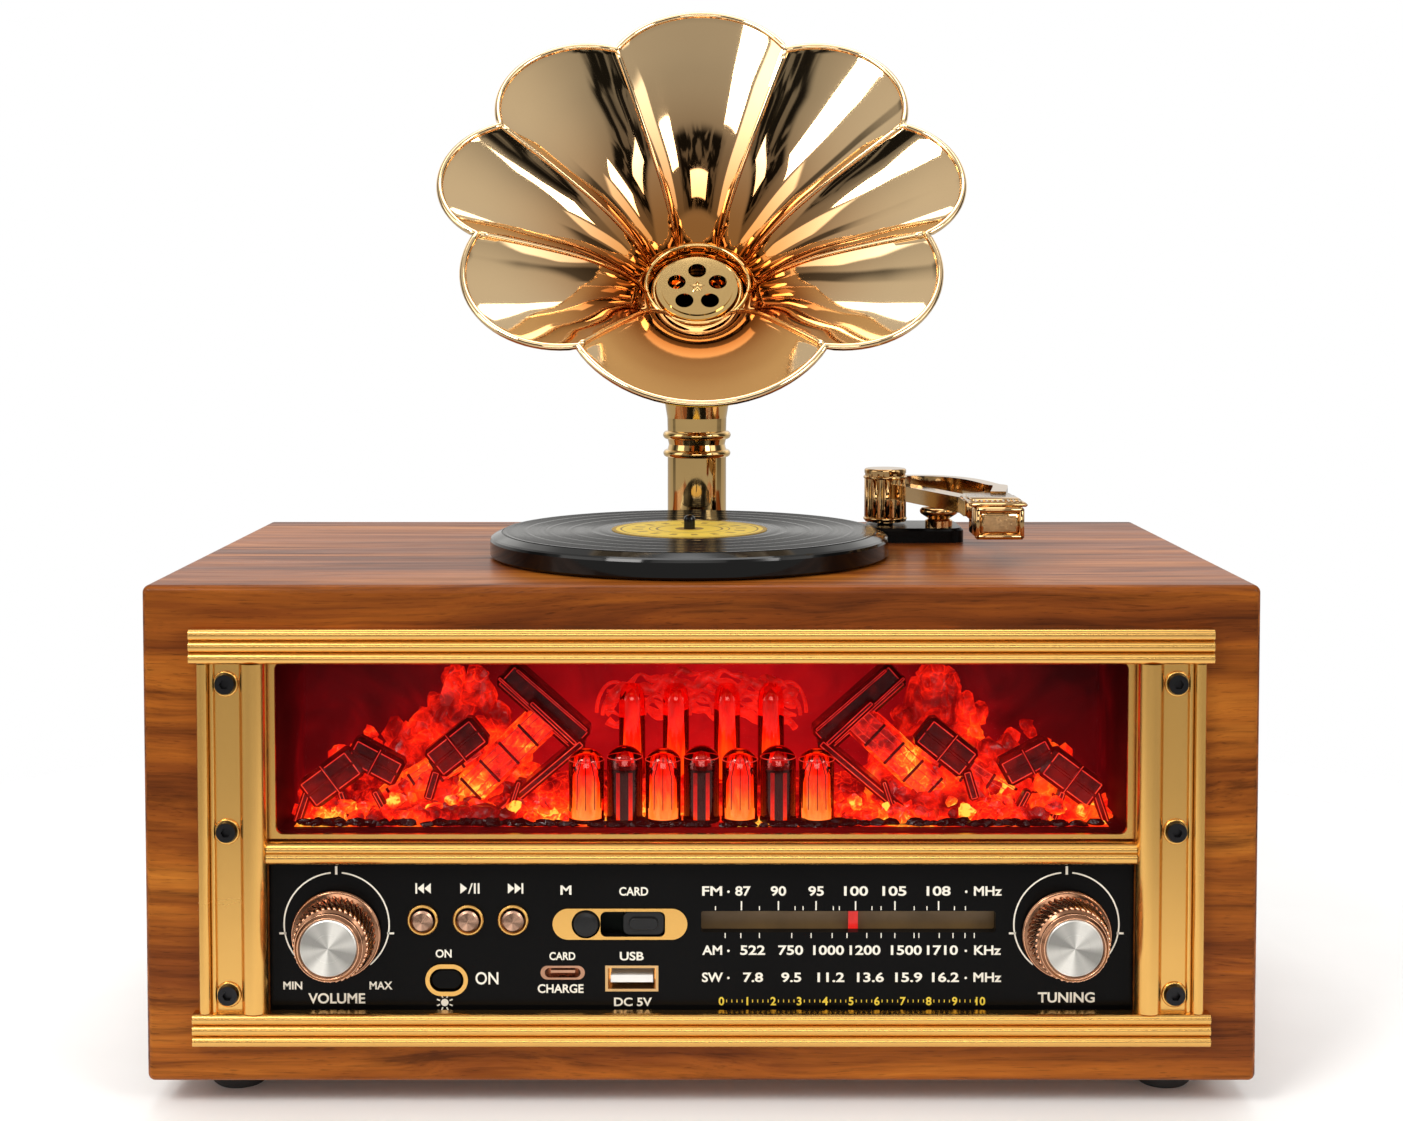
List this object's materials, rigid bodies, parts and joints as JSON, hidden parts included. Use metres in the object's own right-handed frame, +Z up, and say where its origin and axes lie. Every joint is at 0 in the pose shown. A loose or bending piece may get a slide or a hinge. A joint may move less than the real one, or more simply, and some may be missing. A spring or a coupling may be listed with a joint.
{
  "type": "tabletop radio",
  "caption": "Retro tabletop radio: walnut box with gilt front frame, glowing valve window, tuning dial, knobs and keys, record turntable, tonearm and petal horn on top.",
  "frame": {"origin": "centre of the bounding box at the level of the feet", "axes": "+Z up, +X to the right of someone facing the dial, the dial faces -Y"},
  "size_m": [0.29, 0.1676, 0.3049],
  "materials": {
    "walnut_veneer": "satin lacquer over straight brown veneer",
    "satin_gold": "satin gilt",
    "polished_gold": "mirror gilt",
    "rose_gold": "polished rose gilt",
    "spun_steel": "spun face",
    "black_gloss": "high gloss",
    "black_plastic": "fine matt",
    "black_screw": "black oxide",
    "steel": "plain",
    "rubber": "matt",
    "clear_acrylic": "clear",
    "red_glass": "lit from inside",
    "ember": "lit translucent",
    "smoked_block": "smoked translucent",
    "red_backdrop": "lit backdrop",
    "vinyl": "grooved gloss",
    "label_paper": "printed paper",
    "pcb": "solder mask",
    "fibreboard": "dark hardboard",
    "white_plastic": "gloss",
    "red_plastic": "gloss",
    "dial_strip": "bronze paint",
    "cord_fibre": "waxed",
    "battery_wrap": "shrink sleeve",
    "chrome": "mirror"
  },
  "bodies": {
    "cabinet": {"front_baffle": "walnut_veneer", "cabinet_wrap": "walnut_veneer", "rear_panel": "fibreboard", "cabinet_screws": "steel", "rubber_feet": "rubber", "top_molding": "satin_gold", "bottom_molding": "satin_gold", "left_pilaster": "satin_gold", "right_pilaster": "satin_gold", "middle_rail": "satin_gold", "pilaster_screws": "black_screw", "window_bezel": "satin_gold", "window_pane": "clear_acrylic", "diorama_tray": "red_backdrop", "ember_bed": "ember", "valve_tubes": "red_glass", "transformer_blocks": "smoked_block", "coil_boxes": "smoked_block", "led_board": "pcb", "control_panel": "black_gloss", "volume_pot": "steel", "tuning_capacitor": "steel", "dial_cord": "cord_fibre", "dial_plate": "dial_strip", "button_bezels": "rose_gold", "mode_plate": "satin_gold", "usb_socket": "chrome", "usb_tongue": "white_plastic", "charge_socket": "chrome", "main_board": "pcb", "battery_pack": "battery_wrap", "speaker": "black_plastic", "platter_motor": "steel", "horn_column": "polished_gold", "column_nut": "steel", "horn_elbow": "polished_gold", "horn_bell": "polished_gold", "throat_rosette": "polished_gold", "tonearm_base": "black_gloss", "tonearm_rest": "polished_gold", "antenna_bracket": "black_plastic"},
    "record": {"platter": "black_gloss", "record_disc": "vinyl", "record_label": "label_paper"},
    "volume": {"volume_knob": "rose_gold", "volume_knob_cap": "spun_steel"},
    "tuning": {"tuning_knob": "rose_gold", "tuning_knob_cap": "spun_steel", "tuning_drum": "white_plastic"},
    "pointer": {"dial_pointer": "red_plastic"},
    "previous_key": {"previous_button": "rose_gold"},
    "play_key": {"play_button": "rose_gold"},
    "next_key": {"next_button": "rose_gold"},
    "mode_key": {"mode_button": "black_plastic"},
    "band_switch": {"band_slider": "black_plastic"},
    "light_rocker": {"light_switch": "black_plastic"},
    "arm": {"tonearm": "polished_gold", "headshell": "polished_gold"},
    "antenna": {"antenna_tube": "chrome"},
    "antenna_inner": {"antenna_tip": "chrome"}
  },
  "joints": [
    {"name": "record_spin", "type": "hinge", "parent": "cabinet", "child": "record", "pos_m": [-0.0035, -0.0091, 0.1375], "axis": [0, 0, 1], "continuous": true},
    {"name": "volume_turn", "type": "hinge", "parent": "cabinet", "child": "volume", "pos_m": [-0.0954, -0.0714, 0.0457], "axis": [0, 1, 0], "range_deg": [-140, 140]},
    {"name": "tuning_turn", "type": "hinge", "parent": "cabinet", "child": "tuning", "pos_m": [0.0954, -0.0714, 0.0457], "axis": [0, 1, 0], "range_deg": [-102, 77]},
    {"name": "pointer_slide", "type": "slide", "parent": "cabinet", "child": "pointer", "axis": [1, 0, 0], "range_m": [-0.029, 0.0222]},
    {"name": "previous_press", "type": "slide", "parent": "cabinet", "child": "previous_key", "axis": [0, 1, 0], "range_m": [0, 0.0008], "stiffness_N_per_m": 600},
    {"name": "play_press", "type": "slide", "parent": "cabinet", "child": "play_key", "axis": [0, 1, 0], "range_m": [0, 0.0008], "stiffness_N_per_m": 600},
    {"name": "next_press", "type": "slide", "parent": "cabinet", "child": "next_key", "axis": [0, 1, 0], "range_m": [0, 0.0008], "stiffness_N_per_m": 600},
    {"name": "mode_press", "type": "slide", "parent": "cabinet", "child": "mode_key", "axis": [0, 1, 0], "range_m": [0, 0.0008], "stiffness_N_per_m": 600},
    {"name": "band_slide", "type": "slide", "parent": "cabinet", "child": "band_switch", "axis": [1, 0, 0], "range_m": [-0.0056, 0]},
    {"name": "light_tilt", "type": "hinge", "parent": "cabinet", "child": "light_rocker", "pos_m": [-0.0666, -0.0704, 0.0337], "axis": [1, 0, 0], "range_deg": [-7, 7]},
    {"name": "arm_swing", "type": "hinge", "parent": "cabinet", "child": "arm", "pos_m": [0.0575, 0.0346, 0.1425], "axis": [0, 0, 1], "range_deg": [-55, 0]},
    {"name": "antenna_swing", "type": "hinge", "parent": "cabinet", "child": "antenna", "pos_m": [0.118, 0.0808, 0.1235], "axis": [0, 1, 0], "range_deg": [0, 170]},
    {"name": "antenna_extend", "type": "slide", "parent": "antenna", "child": "antenna_inner", "axis": [-1, 0, 0], "range_m": [0, 0.145]}
  ],
  "couplings": [
    {"joint": "pointer_slide", "follows": "tuning_turn", "m_per_rad": 0.016}
  ]
}
